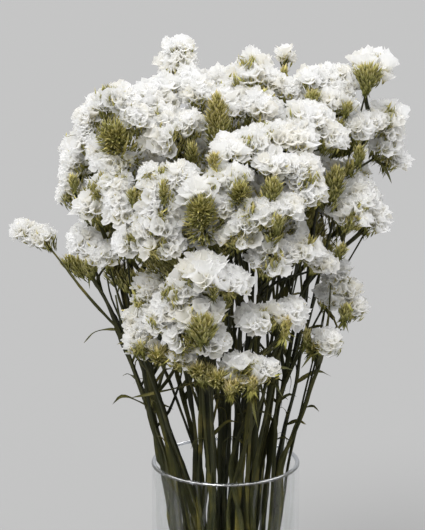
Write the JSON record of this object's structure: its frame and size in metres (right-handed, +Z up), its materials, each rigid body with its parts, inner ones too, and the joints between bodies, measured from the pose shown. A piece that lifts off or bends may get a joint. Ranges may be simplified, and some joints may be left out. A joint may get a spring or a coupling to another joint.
{
  "type": "dried statice in a vase",
  "caption": "Bunch of dried white statice: winged stems with papery clustered flower heads, standing in a clear glass cylinder vase.",
  "frame": {"origin": "centre of the vase's flat base, where the part stands", "axes": "+Z up along the vase's axis, -Y towards the side shown in front, +X to that side's right"},
  "size_m": [0.2661, 0.2415, 0.4904],
  "materials": {
    "glass": "clear polished glass, faintly grey-green at the edges",
    "stem": "dry matte olive stems and bracts, tan at the tips",
    "calyx": "matte papery white calyxes, faintly yellow-green in the throat"
  },
  "bodies": {
    "root": {"vase": "glass", "stem_top_left": "stem", "blooms_top_left": "calyx", "stem_left_rosette": "stem", "blooms_left_rosette": "calyx", "stem_top_middle": "stem", "blooms_top_middle_1": "calyx", "blooms_top_middle_2": "calyx", "stem_top_right": "stem", "blooms_top_right": "calyx", "stem_far_right": "stem", "blooms_far_right_1": "calyx", "blooms_far_right_2": "calyx", "stem_upper_front": "stem", "blooms_upper_front": "calyx", "stem_left_side": "stem", "blooms_left_side_1": "calyx", "blooms_left_side_2": "calyx", "stem_left_front": "stem", "blooms_left_front": "calyx", "stem_mid_front": "stem", "blooms_mid_front": "calyx", "stem_right_front": "stem", "blooms_right_front": "calyx", "stem_middle": "stem", "blooms_middle_1": "calyx", "blooms_middle_2": "calyx", "stem_right_side": "stem", "blooms_right_side": "calyx", "stem_right_lower": "stem", "blooms_right_lower_1": "calyx", "blooms_right_lower_2": "calyx", "stem_far_left": "stem", "blooms_far_left_1": "calyx", "blooms_far_left_2": "calyx", "stem_centre_dome": "stem", "blooms_centre_dome": "calyx", "stem_centre_low": "stem", "blooms_centre_low": "calyx", "stem_left_low": "stem", "blooms_left_low": "calyx", "stem_right_low": "stem", "blooms_right_low_1": "calyx", "blooms_right_low_2": "calyx", "stem_back_top": "stem", "blooms_back_top": "calyx", "stem_back_left": "stem", "blooms_back_left": "calyx", "stem_back_right": "stem", "blooms_back_right": "calyx", "stem_back_middle": "stem", "blooms_back_middle": "calyx", "stem_back_low_left": "stem", "blooms_back_low_left": "calyx", "stem_back_low_right": "stem", "blooms_back_low_right": "calyx", "stem_back_low": "stem", "blooms_back_low": "calyx"}
  },
  "joints": []
}
